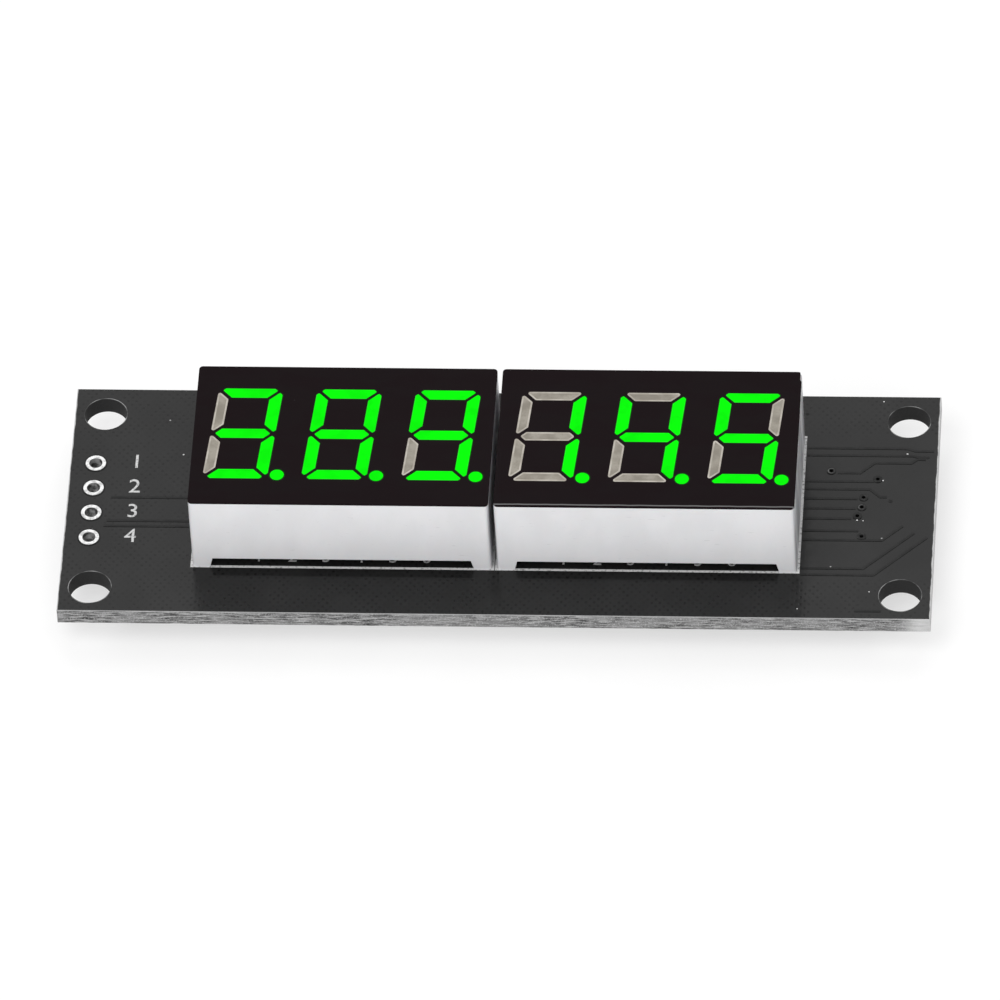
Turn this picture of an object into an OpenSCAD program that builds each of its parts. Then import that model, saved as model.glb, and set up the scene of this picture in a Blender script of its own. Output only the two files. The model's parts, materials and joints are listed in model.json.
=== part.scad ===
// Seven segment display module with six digits.
// A black circuit board carries two displays of three digits on its front. The driver chip
// and its small parts are soldered to its back. Each display is a white moulded reflector
// with a light well for each segment, filled with clear resin over its light chips.
// Origin: the middle of the four mounting holes, on the underside of the board.
// +X runs along the digits, +Y points to their tops and +Z points out of their faces.

/* [Circuit board] */
// Thickness of the board
board_t = 1.4; // [0.8:0.1:2.4]
// Board beyond each end of the row of displays
end_strip = 10.1; // [10:0.05:20]
// Board in front of the displays
near_strip = 4.55; // [4:0.05:12]
// Board behind the displays
far_strip = 4.2; // [4:0.05:12]
// How far the middle of the board sits off the middle of the mounting holes, across the board
board_off_y = 0.125; // [-0.3:0.025:0.3]
// Thickness of the copper and tin in the holes and on both faces
plate_t = 0.05; // [0.03:0.01:0.1]

/* [Mounting holes] */
// Diameter of the mounting holes
mount_d = 3.2; // [2:0.1:3.6]
// From the middle of a mounting hole to the short edge
mount_in_x = 2.35; // [2:0.05:4]
// From the middle of a mounting hole to the long edge, on a board that sits in the middle of its holes
mount_in_y = 2.475; // [2:0.025:4]

/* [Header holes] */
// Finished diameter of a header hole
header_d = 1; // [0.7:0.05:1.2]
// Distance between header holes
header_pitch = 2.54; // [2:0.01:3.5]
// Diameter of the ring round a header hole
header_pad_d = 1.55; // [1.4:0.05:1.9]
// From the header holes to the short edge
header_in = 1.93; // [1.2:0.01:3]
// How far the header holes sit off the middle of the mounting holes, across the board
header_off_y = 0; // [-1:0.05:1]

/* [Displays] */
// Length of a display
disp_l = 22.65; // [22.35:0.05:26]
// Width of a display
disp_w = 14; // [13:0.1:18]
// Height of a display over the board
disp_h = 7.2; // [6:0.1:10]
// Gap between the two displays
disp_gap = 0.4; // [0.1:0.05:3]
// How far the pair of displays sits off the middle of the board, along it
disp_off_x = -0.1; // [-0.3:0.05:0.3]
// Radius of a display's upright corners
corner_r = 0.3; // [0.1:0.05:0.5]
// Thickness of the black mask on a display's face
mask_t = 0.2; // [0.1:0.05:0.5]
// Length of the nick in the far right corner of the right mask
nick_l = 1; // [0.5:0.1:2]
// Width of that nick
nick_w = 0.12; // [0.05:0.01:0.3]

/* [Reflector housing] */
// Thickness of the walls round the hollow back
wall_t = 0.9; // [0.6:0.05:1.2]
// Depth of the hollow back
hollow_h = 2.6; // [2.2:0.1:3]
// Height of the notch at the foot of the long walls
notch_h = 0.95; // [0.5:0.05:1.2]
// Length of the feet at the ends of the notch
foot_l = 1.55; // [1.3:0.025:3]
// How much wider the notch gets at each end, down at the board
notch_flare = 0.22; // [0:0.02:0.5]
// Depth of the straight mouth of a light well
well_mouth = 0.5; // [0.2:0.1:1.5]
// Width of a light well at its foot, where the light chip sits
well_foot_w = 0.5; // [0.45:0.05:0.65]

/* [Digits] */
// Number that the left display shows
left_number = 389; // [100:1:887]
// Number that the right display shows
right_number = 145; // [100:1:887]
// Whether the decimal points are lit
points_lit = true; // [true, false]
// From the top or foot of a digit to the long side of the display
digit_in_y = 2.43; // [2.2:0.01:2.8]
// From the side of an outer digit to the short side of the display
digit_in_x = 1.4; // [1.375:0.005:1.475]
// Gap between two digits
digit_between = 2.65; // [2.6:0.01:2.8]
// Lean of the digits, in degrees
slant = 4.4; // [0:0.1:10]
// Width of a segment's stroke
stroke = 0.85; // [0.7:0.05:1]
// Dark gap between neighbouring segments
seg_gap = 0.3; // [0.25:0.05:0.4]
// How far the gaps beside the middle bar cross inside the digit's side
waist_in = 0.15; // [0.1:0.01:0.17]
// Radius of the segments' corners
seg_r = 0.15; // [0.05:0.05:0.2]
// How far the digits sit off the middle of a display, along it
digits_off_x = -0.1; // [-0.2:0.05:0.05]
// How far the digits sit off the middle of a display, across it
digits_off_y = 0.1; // [-0.3:0.05:0.3]
// Diameter of a decimal point
dot_d = 1.05; // [0.8:0.05:1.2]
// From the digit's side to the middle of its decimal point
dot_out = 0.75; // [0.7:0.05:0.9]
// From the digit's foot line up to the middle of its decimal point
dot_up = 0.35; // [0.2:0.05:0.6]

/* [Inside a display] */
// Thickness of the inner board that carries the light chips
inner_board_t = 1; // [0.6:0.1:1.2]
// Gap between the inner board and the walls
inner_gap = 0.1; // [0.05:0.05:0.3]
// Thickness of the resin that closes the back
resin_t = 0.6; // [0.3:0.1:0.8]
// Side of a light chip
light_chip_w = 0.3; // [0.2:0.05:0.35]
// Height of a light chip
light_chip_h = 0.12; // [0.08:0.01:0.2]
// Gap between a light chip and the resin over it
light_chip_gap = 0.08; // [0.05:0.01:0.15]

/* [Display pins] */
// Diameter of a pin
pin_d = 0.5; // [0.4:0.05:0.6]
// Distance between pins in a row
pin_pitch = 2.54; // [2:0.01:2.6]
// From the middle of a pin to the long side of its display
pin_in = 1.92; // [1.85:0.01:2.3]
// How far a pin stands out under the board
pin_out = 1.3; // [1:0.1:2]
// Clearance round a pin in the inner board and the resin
pin_fit = 0.03; // [0.01:0.01:0.05]
// Finished diameter of a pin hole in the board
pin_hole_d = 0.8; // [0.75:0.05:1]
// Diameter of the ring round a pin hole
pin_pad_d = 1.5; // [1.3:0.05:1.8]
// Height of the solder under the board
solder_h = 0.95; // [0.5:0.05:1]
// Clearance between the solder and what it wets
solder_fit = 0.02; // [0.01:0.01:0.04]

/* [Driver chip] */
// Length of the package
chip_l = 12.8; // [12.6:0.1:13.2]
// Width of the package
chip_w = 7.5; // [7:0.1:7.8]
// Height of the package
chip_h = 2.25; // [1.8:0.05:2.6]
// Gap between the package and the pads
chip_rise = 0.1; // [0.05:0.05:0.3]
// Share of the spare room beside the chip and its pads that lies on the side of the displays
chip_share = 0.2632; // [0.05:0.0001:0.6]
// Width over the tips of the leads
lead_span = 10.3; // [9.8:0.1:10.6]
// Distance between leads
lead_pitch = 1.27; // [1.1:0.01:1.3]
// Width of a lead
lead_w = 0.41; // [0.3:0.01:0.5]
// Thickness of a lead
lead_t = 0.25; // [0.15:0.01:0.3]
// Length of the foot of a lead
lead_foot = 0.75; // [0.5:0.05:0.8]
// Straight stretch of a lead at the package
lead_shoulder = 0.2; // [0.1:0.05:0.3]

/* [Small parts] */
// Length of a resistor or capacitor
small_l = 1.6; // [1.4:0.1:2]
// Width of a resistor or capacitor
small_w = 0.8; // [0.7:0.05:1.2]
// Height of a resistor
resistor_h = 0.45; // [0.35:0.05:0.6]
// Height of a capacitor
capacitor_h = 0.8; // [0.6:0.05:1]
// Length of a metal end
end_l = 0.35; // [0.25:0.05:0.5]
// Thickness of the metal on an end
end_t = 0.05; // [0.03:0.01:0.1]
// From the header holes to the middle of the parts beside them
beside_header = 4.5; // [3.5:0.1:5]
// From the chip's end to the middle of the part beside it
beside_chip = 1.6; // [1.4:0.1:2]

/* [Hidden] */

// How finely round things are drawn
ROUND = 48;
// How far a cut runs past the face that it opens
CUT = 0.1;

// Counts that the object's own form fixes
HEADER_HOLES = 4;
DIGITS = 3;
PINS_IN_ROW = 6;
LEADS_ON_SIDE = 10;

board_l = 2 * disp_l + disp_gap + 2 * end_strip;
board_w = disp_w + near_strip + far_strip;
header_x = header_in - board_l / 2;

// Middles of the two displays, and the levels in them
displays_y = board_off_y + (near_strip - far_strip) / 2;
left_place = [disp_off_x - (disp_l + disp_gap) / 2, displays_y];
right_place = [disp_off_x + (disp_l + disp_gap) / 2, displays_y];
hollow_top = board_t + hollow_h;
housing_top = board_t + disp_h - mask_t;
well_h = housing_top - hollow_top;
chip_room = light_chip_h + light_chip_gap;

// Round a pin: the pin, the solder in its hole and the ring that it stands on
pin_r = pin_d / 2;
solder_in_r = pin_r + solder_fit;
solder_out_r = pin_hole_d / 2 - solder_fit;
solder_foot_in = 0.1;
solder_foot_r = pin_pad_d / 2 - solder_foot_in;
solder_tip_w = 0.08;

// Tented holes between the two faces, as offsets from the middle of the chip
VIA_SPOTS = [[-0.05, 3.65], [2.5, 0.95], [2.4, -0.05], [2.1, -0.95], [3.5, 2.85], [2.5, -3.05]];
via_d = 0.3;
via_pad_d = 0.7;

chip_mid = plate_t + chip_rise + chip_h / 2;
chip_draft = 0.25;
chip_dimple_d = 1.2;
chip_dimple_in = 1.3;
lead_pad_past = 0.1;
lead_pad_w = lead_w + 2 * lead_pad_past;
pad_past_foot = 0.4;

// The chip and its pads lie between the rings of the last display pins and the short edge of the board
pads_reach = lead_span / 2 + pad_past_foot;
last_ring_x = right_place.x + (PINS_IN_ROW - 1) / 2 * pin_pitch + pin_pad_d / 2;
spare_x = board_l / 2 - last_ring_x - 2 * pads_reach;
chip_place = [last_ring_x + chip_share * spare_x + pads_reach, board_off_y];

// Middles of the resistors and capacitors
capacitor_3_off = 2.5;
header_row = [for (i = [0:HEADER_HOLES - 1]) header_off_y + ((HEADER_HOLES - 1) / 2 - i) * header_pitch];
small_x = header_x + beside_header;
resistor_1_spot = [small_x, header_row[0]];
resistor_2_spot = [small_x, header_row[1]];
capacitor_1_spot = [small_x, header_row[2]];
capacitor_2_spot = [small_x, header_row[3]];
capacitor_3_spot = chip_place + [-capacitor_3_off, chip_l / 2 + beside_chip];
SMALL_SPOTS = [resistor_1_spot, resistor_2_spot, capacitor_1_spot, capacitor_2_spot, capacitor_3_spot];
small_pad_past = 0.35;

// Segments of each figure: a on top, then clockwise to f, with g in the middle
FIGURES = ["abcdef", "bc", "abged", "abgcd", "fgbc", "afgcd", "afgedc", "abc", "abcdefg", "abcdfg"];
SEGMENTS = "abcdefg";

function figures(number) = [floor(number / 100), floor(number / 10) % 10, number % 10];
function is_lit(figure, segment) = len(search(segment, FIGURES[figure])) > 0;

// Outlines of the segments before they lean, seen from the front
digit_w = (disp_l - 2 * digit_in_x - (DIGITS - 1) * digit_between) / DIGITS;
half_w = digit_w / 2;
half_h = disp_w / 2 - digit_in_y;
gap_along = seg_gap / sqrt(2);
bar_tip = half_w - waist_in - gap_along;
upright_end = gap_along - waist_in;

// Mirrored outlines run backwards, so that each one stays clockwise
function backwards(points) = [for (i = [len(points) - 1:-1:0]) points[i]];
function flip_x(points) = [for (p = backwards(points)) [-p.x, p.y]];
function flip_y(points) = [for (p = backwards(points)) [p.x, -p.y]];

top_bar = [
    [gap_along - half_w, half_h], [half_w - gap_along, half_h],
    [half_w - gap_along - stroke, half_h - stroke], [gap_along - half_w + stroke, half_h - stroke]
];
upper_left = [
    [-half_w, half_h - gap_along], [stroke - half_w, half_h - gap_along - stroke],
    [stroke - half_w, upright_end + stroke], [-half_w, upright_end]
];
middle_bar = [
    [-bar_tip, 0], [stroke / 2 - bar_tip, stroke / 2], [bar_tip - stroke / 2, stroke / 2],
    [bar_tip, 0], [bar_tip - stroke / 2, -stroke / 2], [stroke / 2 - bar_tip, -stroke / 2]
];

function straight_segment(segment) =
    segment == "a" ? top_bar :
    segment == "b" ? flip_x(upper_left) :
    segment == "c" ? flip_x(flip_y(upper_left)) :
    segment == "d" ? flip_y(top_bar) :
    segment == "e" ? flip_y(upper_left) :
    segment == "f" ? upper_left : middle_bar;

function leaning(points) = [for (p = points) [p.x + p.y * tan(slant), p.y]];

// Arc of radius r in the corner b between the points a and c
ARC_STEPS = 3;
function unit(v) = v / norm(v);
function bearing(v) = atan2(v.y, v.x);
function short_turn(angle) = angle > 180 ? angle - 360 : angle < -180 ? angle + 360 : angle;
function corner_arc(a, b, c, r) = let (
    to_a = unit(a - b),
    to_c = unit(c - b),
    half = acos(to_a * to_c) / 2,
    centre = b + unit(to_a + to_c) * r / sin(half),
    first = bearing(b + to_a * r / tan(half) - centre),
    last = bearing(b + to_c * r / tan(half) - centre),
    turn = short_turn(last - first)
) [for (i = [0:ARC_STEPS]) centre + r * [cos(first + turn * i / ARC_STEPS), sin(first + turn * i / ARC_STEPS)]];

function rounded(points, r) = let (n = len(points))
    [for (i = [0:n - 1]) each corner_arc(points[(i + n - 1) % n], points[i], points[(i + 1) % n], r)];

function segment_outline(segment) = rounded(leaning(straight_segment(segment)), seg_r);

// Middle of the box round an outline
function box_middle(points) = [for (k = [0, 1])
    (min([for (p = points) p[k]]) + max([for (p = points) p[k]])) / 2];

function digit_place(i) = [digits_off_x + (i - (DIGITS - 1) / 2) * (digit_w + digit_between), digits_off_y];
dot_place = [half_w + dot_out + (dot_up - half_h) * tan(slant), dot_up - half_h];

// Rectangle with round corners
module round_rect(l, w, r) {
    square([l - 2 * r, w], center = true);
    square([l, w - 2 * r], center = true);
    for (x = [-1, 1], y = [-1, 1])
        translate([x * (l / 2 - r), y * (w / 2 - r)]) circle(r, $fn = ROUND);
}

// Tube or rivet about Z from its half section
module turned(section) rotate_extrude($fn = ROUND) polygon(section);

// Plated hole through the board, with a ring on both faces
module eyelet(hole_d, pad_d) turned([
    [hole_d / 2, -plate_t], [pad_d / 2, -plate_t], [pad_d / 2, 0],
    [hole_d / 2 + plate_t, 0], [hole_d / 2 + plate_t, board_t],
    [pad_d / 2, board_t], [pad_d / 2, board_t + plate_t], [hole_d / 2, board_t + plate_t]
]);

module drilled(d) translate([0, 0, -CUT]) cylinder(d = d, h = board_t + 2 * CUT, $fn = ROUND);

module at_mounting_holes()
    for (x = [-1, 1], y = [-1, 1])
        translate([x * (board_l / 2 - mount_in_x), y * (board_w / 2 - mount_in_y)]) children();

// One row of display pins, at the front (side -1) or at the rear (side 1)
module at_pin_row(place, side)
    for (i = [0:PINS_IN_ROW - 1])
        translate(place + [(i - (PINS_IN_ROW - 1) / 2) * pin_pitch, side * (disp_w / 2 - pin_in)]) children();

module at_display_pins(place) for (side = [-1, 1]) at_pin_row(place, side) children();

module at_vias() for (spot = VIA_SPOTS) translate(chip_place + spot) children();

module printed_circuit_board() color("#2b2b2c") difference() {
    translate([-board_l / 2, board_off_y - board_w / 2, 0]) cube([board_l, board_w, board_t]);
    at_mounting_holes() drilled(mount_d);
    for (y = header_row) translate([header_x, y]) drilled(header_d + 2 * plate_t);
    for (place = [left_place, right_place]) at_display_pins(place) drilled(pin_hole_d + 2 * plate_t);
    at_vias() drilled(via_d + 2 * plate_t);
}

module header_pad(i) color("#d5d6d8") translate([header_x, header_row[i - 1]]) eyelet(header_d, header_pad_d);

module vias() color("#303031") at_vias() eyelet(via_d, via_pad_d);

module pin_pads() color("#c9cacc")
    for (place = [left_place, right_place]) at_display_pins(place) eyelet(pin_hole_d, pin_pad_d);

// Share of its full size that a light well has at a given depth under its straight mouth
function well_share(depth) = 1 - (1 - well_foot_w / stroke) * (depth - well_mouth) / (well_h - well_mouth);

// The outline of a well at the height z, shrunk to a share of its size
function well_ring(outline, z, share) = let (middle = box_middle(outline))
    [for (p = outline) [middle.x + share * (p.x - middle.x), middle.y + share * (p.y - middle.y), z]];

// What fills a light well, from over its mouth down to a given depth
module well_fill(segment, over, depth) {
    outline = segment_outline(segment);
    n = len(outline);
    polyhedron(
        points = concat(
            well_ring(outline, over, 1), well_ring(outline, -well_mouth, 1),
            well_ring(outline, -depth, well_share(depth))),
        faces = concat(
            [[for (i = [0:n - 1]) i], [for (i = [n - 1:-1:0]) 2 * n + i]],
            [for (ring = [0, n], i = [0:n - 1]) let (next = (i + 1) % n)
                [ring + next, ring + i, ring + n + i, ring + n + next]]));
}

module dot_fill(over, depth) translate(dot_place) {
    translate([0, 0, -well_mouth]) cylinder(d = dot_d, h = well_mouth + over, $fn = ROUND);
    translate([0, 0, -depth])
        cylinder(d1 = dot_d * well_share(depth), d2 = dot_d, h = depth - well_mouth, $fn = ROUND);
}

module at_digit(place, i) translate(place + digit_place(i)) translate([0, 0, housing_top]) children();

// Notch under a long wall, between the feet at the corners
module notch() {
    top = disp_l / 2 - foot_l;
    slope = notch_flare / notch_h;
    rotate([90, 0, 0]) linear_extrude(disp_w + 2 * CUT, center = true) polygon([
        [-top, notch_h], [top, notch_h],
        [top + notch_flare + slope * CUT, -CUT], [-top - notch_flare - slope * CUT, -CUT]
    ]);
}

module housing(place) color("#dcdcde") difference() {
    translate([place.x, place.y, board_t])
        linear_extrude(housing_top - board_t) round_rect(disp_l, disp_w, corner_r);
    translate([place.x, place.y, board_t - CUT])
        linear_extrude(hollow_h + CUT) square([disp_l - 2 * wall_t, disp_w - 2 * wall_t], center = true);
    translate([place.x, place.y, board_t]) notch();
    for (i = [0:DIGITS - 1]) at_digit(place, i) {
        for (segment = SEGMENTS) well_fill(segment, CUT, well_h + CUT);
        dot_fill(CUT, well_h + CUT);
    }
}

module face_mask(place) color("#201a1c") difference() {
    translate([place.x, place.y, housing_top]) linear_extrude(mask_t) round_rect(disp_l, disp_w, corner_r);
    for (i = [0:DIGITS - 1]) at_digit(place, i) translate([0, 0, -CUT]) linear_extrude(mask_t + 2 * CUT) {
        for (segment = SEGMENTS) polygon(segment_outline(segment));
        translate(dot_place) circle(d = dot_d, $fn = ROUND);
    }
}

// The nick is a sliver that has come off the mask's side beside its corner
module nicked_mask(place) color("#201a1c") difference() {
    face_mask(place);
    translate([place.x + disp_l / 2, place.y + disp_w / 2, housing_top - CUT]) linear_extrude(mask_t + 2 * CUT)
        polygon([[CUT, CUT], [-nick_w, CUT], [-nick_w, -nick_l * 0.8], [0, -nick_l], [CUT, -nick_l]]);
}

// Resin in the wells of the lit segments of one digit, up to the face
module lit_digit(place, number, i) color("#00f01c") at_digit(place, i) {
    figure = figures(number)[i];
    for (segment = SEGMENTS) if (is_lit(figure, segment)) well_fill(segment, mask_t, well_h - chip_room);
    if (points_lit) dot_fill(mask_t, well_h - chip_room);
}

// Resin in the wells of all segments of a display that stay dark
module unlit_segments(place, number) color("#beb7aa") for (i = [0:DIGITS - 1]) at_digit(place, i) {
    figure = figures(number)[i];
    for (segment = SEGMENTS) if (!is_lit(figure, segment)) well_fill(segment, mask_t, well_h - chip_room);
    if (!points_lit) dot_fill(mask_t, well_h - chip_room);
}

module inner_board(place) color("#d9d7c8") difference() {
    translate([place.x, place.y, hollow_top - inner_board_t]) linear_extrude(inner_board_t)
        square([disp_l - 2 * wall_t - 2 * inner_gap, disp_w - 2 * wall_t - 2 * inner_gap], center = true);
    at_display_pins(place) cylinder(d = pin_d + 2 * pin_fit, h = hollow_top + CUT, $fn = ROUND);
}

module back_resin(place) color("#c9c4b2") difference() {
    translate([place.x, place.y, hollow_top - inner_board_t - resin_t]) linear_extrude(resin_t)
        square([disp_l - 2 * wall_t, disp_w - 2 * wall_t], center = true);
    at_display_pins(place) cylinder(d = pin_d + 2 * pin_fit, h = hollow_top, $fn = ROUND);
}

// Light chips stand on the inner board, one in the foot of each well
module light_chips(place) color("#e0d890") for (i = [0:DIGITS - 1])
    translate(place + digit_place(i)) translate([0, 0, hollow_top]) linear_extrude(light_chip_h) {
        for (segment = SEGMENTS) translate(box_middle(segment_outline(segment))) square(light_chip_w, center = true);
        translate(dot_place) square(light_chip_w, center = true);
    }

module pin_row(place, side) color("#c4c5c8") at_pin_row(place, side) translate([0, 0, -pin_out]) {
    tip = pin_d / 5;
    cylinder(d1 = pin_d - 2 * tip, d2 = pin_d, h = tip, $fn = ROUND);
    translate([0, 0, tip]) cylinder(d = pin_d, h = hollow_top + pin_out - tip, $fn = ROUND);
}

// Solder fills the plated hole and runs out to the ring in a hollow curve
module solder_row(place, side) color("#d4d5d6") at_pin_row(place, side) turned(concat(
    [[solder_in_r, board_t], [solder_out_r, board_t], [solder_out_r, -plate_t]],
    [for (t = [0:0.25:1]) [
        solder_in_r + solder_tip_w + (solder_foot_r - solder_in_r - solder_tip_w) * pow(1 - t, 2),
        -plate_t - t * (solder_h - plate_t)
    ]],
    [[solder_in_r, -solder_h]]
));

// Package of the chip, hanging under the board with its top outwards
module driver_chip() color("#1c1c1d") translate([chip_place.x, chip_place.y, -chip_mid]) difference() {
    slope_h = (chip_h - lead_t) / 2;
    ends = [1 - 2 * chip_draft / chip_w, 1 - 2 * chip_draft / chip_l];
    union() {
        linear_extrude(lead_t, center = true) square([chip_w, chip_l], center = true);
        for (m = [0, 1]) mirror([0, 0, m]) translate([0, 0, lead_t / 2])
            linear_extrude(slope_h, scale = ends) square([chip_w, chip_l], center = true);
    }
    translate([chip_dimple_in - chip_w / 2, chip_l / 2 - chip_dimple_in, -chip_h / 2 - CUT])
        cylinder(d = chip_dimple_d, h = 2 * CUT, $fn = ROUND);
}

module at_leads() for (m = [0, 1], i = [0:LEADS_ON_SIDE - 1])
    translate(chip_place) mirror([m, 0, 0]) translate([0, (i - (LEADS_ON_SIDE - 1) / 2) * lead_pitch]) children();

// Strip of a given width along X with the section [outwards, down from the board]
module strip(width, section) rotate([90, 0, 0]) linear_extrude(width, center = true)
    polygon([for (p = section) [p[0], -p[1]]]);

lead_tip_x = lead_span / 2;
lead_bend_x = chip_w / 2 + lead_shoulder;
lead_heel_x = lead_tip_x - lead_foot;

module driver_chip_leads() color("#c6c7ca") at_leads() strip(lead_w, [
    [chip_w / 2, chip_mid - lead_t / 2], [lead_bend_x, chip_mid - lead_t / 2],
    [lead_heel_x, plate_t], [lead_tip_x, plate_t], [lead_tip_x, plate_t + lead_t],
    [lead_heel_x + lead_t, plate_t + lead_t], [lead_bend_x + lead_t, chip_mid + lead_t / 2],
    [chip_w / 2, chip_mid + lead_t / 2]
]);

// Hollow fillet of solder from an upright face out to the end of its pad
module fillet(width, face_x, out, up) strip(width, [
    [face_x, plate_t], [face_x + out, plate_t], [face_x + out * 0.4, plate_t + up * 0.25], [face_x, plate_t + up]
]);

module driver_chip_solder() color("#d4d5d6") at_leads()
    fillet(lead_w, lead_tip_x, pad_past_foot * 0.7, lead_t * 0.9);

module at_small_ends() for (spot = SMALL_SPOTS, m = [0, 1]) translate(spot) mirror([m, 0, 0]) children();

module back_pads() color("#cfd0d1") translate([0, 0, -plate_t]) linear_extrude(plate_t) {
    at_leads() translate([lead_heel_x, -lead_pad_w / 2]) square([lead_foot + pad_past_foot, lead_pad_w]);
    at_small_ends() translate([small_l / 2 - end_l, -small_w / 2]) square([end_l + small_pad_past, small_w]);
}

// Ceramic core of a small part, which its metal ends wrap
module small_core(height) translate([0, 0, -plate_t - height / 2])
    cube([small_l - 2 * end_t, small_w - 2 * end_t, height - 2 * end_t], center = true);

module small_ends(height) difference() {
    for (x = [-1, 1]) translate([x * (small_l - end_l) / 2, 0, -plate_t - height / 2])
        cube([end_l, small_w, height], center = true);
    small_core(height);
}

module resistor(spot) color("#1f2023") translate(spot) small_core(resistor_h);
module resistor_ends(spot) color("#cfd0d1") translate(spot) small_ends(resistor_h);
module capacitor(spot) color("#b08a5e") translate(spot) small_core(capacitor_h);
module capacitor_ends(spot) color("#cfd0d1") translate(spot) small_ends(capacitor_h);

module small_part_solder() color("#d4d5d6") at_small_ends()
    fillet(small_w, small_l / 2, small_pad_past * 0.7, resistor_h * 0.6);

printed_circuit_board();
header_pad(1);  // header_pad_1
header_pad(2);  // header_pad_2
header_pad(3);  // header_pad_3
header_pad(4);  // header_pad_4
vias();
housing(left_place);  // left_housing
face_mask(left_place);  // left_face_mask
lit_digit(left_place, left_number, 0);  // left_digit_1
lit_digit(left_place, left_number, 1);  // left_digit_2
lit_digit(left_place, left_number, 2);  // left_digit_3
unlit_segments(left_place, left_number);  // left_unlit_segments
inner_board(left_place);  // left_inner_board
light_chips(left_place);  // left_light_chips
back_resin(left_place);  // left_back_resin
pin_row(left_place, -1);  // left_front_pins
pin_row(left_place, 1);  // left_rear_pins
solder_row(left_place, -1);  // left_front_solder
solder_row(left_place, 1);  // left_rear_solder
housing(right_place);  // right_housing
nicked_mask(right_place);  // right_face_mask
lit_digit(right_place, right_number, 0);  // right_digit_1
lit_digit(right_place, right_number, 1);  // right_digit_2
lit_digit(right_place, right_number, 2);  // right_digit_3
unlit_segments(right_place, right_number);  // right_unlit_segments
inner_board(right_place);  // right_inner_board
light_chips(right_place);  // right_light_chips
back_resin(right_place);  // right_back_resin
pin_row(right_place, -1);  // right_front_pins
pin_row(right_place, 1);  // right_rear_pins
solder_row(right_place, -1);  // right_front_solder
solder_row(right_place, 1);  // right_rear_solder
pin_pads();
driver_chip();
driver_chip_leads();
driver_chip_solder();
back_pads();
resistor(resistor_1_spot);  // resistor_1
resistor(resistor_2_spot);  // resistor_2
capacitor(capacitor_1_spot);  // capacitor_1
capacitor(capacitor_2_spot);  // capacitor_2
capacitor(capacitor_3_spot);  // capacitor_3
resistor_ends(resistor_1_spot);  // resistor_1_ends
resistor_ends(resistor_2_spot);  // resistor_2_ends
capacitor_ends(capacitor_1_spot);  // capacitor_1_ends
capacitor_ends(capacitor_2_spot);  // capacitor_2_ends
capacitor_ends(capacitor_3_spot);  // capacitor_3_ends
small_part_solder();
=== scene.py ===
"""Studio scene of a seven segment display module: finishes for its solids, and the print, tracks and
rims that lie on them. Lengths are millimetres in the module's own frame, turned into metres where a
mesh, light or camera is made."""

import json

import bpy
import numpy as np
from mathutils import Euler, Matrix, Vector


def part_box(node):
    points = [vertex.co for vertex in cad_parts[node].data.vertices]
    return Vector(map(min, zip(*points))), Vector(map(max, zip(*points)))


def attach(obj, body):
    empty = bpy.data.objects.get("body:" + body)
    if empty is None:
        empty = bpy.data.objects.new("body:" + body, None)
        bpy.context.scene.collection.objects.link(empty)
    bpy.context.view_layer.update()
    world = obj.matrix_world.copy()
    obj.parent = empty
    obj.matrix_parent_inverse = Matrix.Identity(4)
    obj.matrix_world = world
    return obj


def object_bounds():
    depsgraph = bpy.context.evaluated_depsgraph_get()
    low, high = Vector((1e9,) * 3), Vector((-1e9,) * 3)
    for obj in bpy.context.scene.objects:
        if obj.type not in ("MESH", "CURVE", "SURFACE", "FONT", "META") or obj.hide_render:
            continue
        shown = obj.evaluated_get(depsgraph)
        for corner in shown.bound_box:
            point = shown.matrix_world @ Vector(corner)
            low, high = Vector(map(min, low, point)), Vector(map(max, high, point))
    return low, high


MM = 0.001

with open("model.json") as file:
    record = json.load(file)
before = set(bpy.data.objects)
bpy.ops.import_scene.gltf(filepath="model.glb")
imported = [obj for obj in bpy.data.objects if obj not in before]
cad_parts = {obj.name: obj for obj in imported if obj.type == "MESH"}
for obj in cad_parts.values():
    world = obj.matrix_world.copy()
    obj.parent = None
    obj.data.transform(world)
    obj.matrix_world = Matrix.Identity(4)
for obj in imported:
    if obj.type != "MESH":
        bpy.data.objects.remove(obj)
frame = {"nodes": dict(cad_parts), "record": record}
CAD_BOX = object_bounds()
NODES = frame["nodes"]


def node_box(name):
    """Lowest and highest corner of a solid, in millimetres."""
    low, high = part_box(name)
    return low / MM, high / MM


def middle(name):
    low, high = node_box(name)
    return (low + high) / 2


BOARD_LOW, BOARD_HIGH = node_box("printed_circuit_board")
BOARD_MIDDLE = middle("printed_circuit_board")
BOARD_TOP = BOARD_HIGH.z
BOARD_UNDER = BOARD_LOW.z
DISPLAYS = {side: node_box(f"{side}_housing") for side in ("left", "right")}
FACE_TOP = node_box("left_face_mask")[1].z

# Mounting holes: their radius, and how far their middles lie from the origin
HOLES = next(mount for mount in frame["record"]["mounts"] if mount["name"] == "mounting_holes")["dims"]
MOUNT_R = HOLES["hole_r_mm"]
MOUNT_X = HOLES["spacing_x_mm"] / 2
MOUNT_Y = HOLES["spacing_y_mm"] / 2

HEADER_PADS = [f"header_pad_{i}" for i in range(1, 5)]
SMALL_PARTS = ["resistor_1", "resistor_2", "capacitor_1", "capacitor_2", "capacitor_3"]
LIT_NODES = [f"{side}_digit_{i}" for side in DISPLAYS for i in (1, 2, 3)]
UNLIT_NODES = [f"{side}_unlit_segments" for side in DISPLAYS]

# Pins in a row of a display, leads on a side of the chip, and the distances between them
PINS = 6
PIN_PITCH = 2.54
LEADS = 10
LEAD_PITCH = 1.27

# The camera and the marks on the board are given from a point so far behind the middle of the holes
READ_FROM_Y = 0.15


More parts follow.
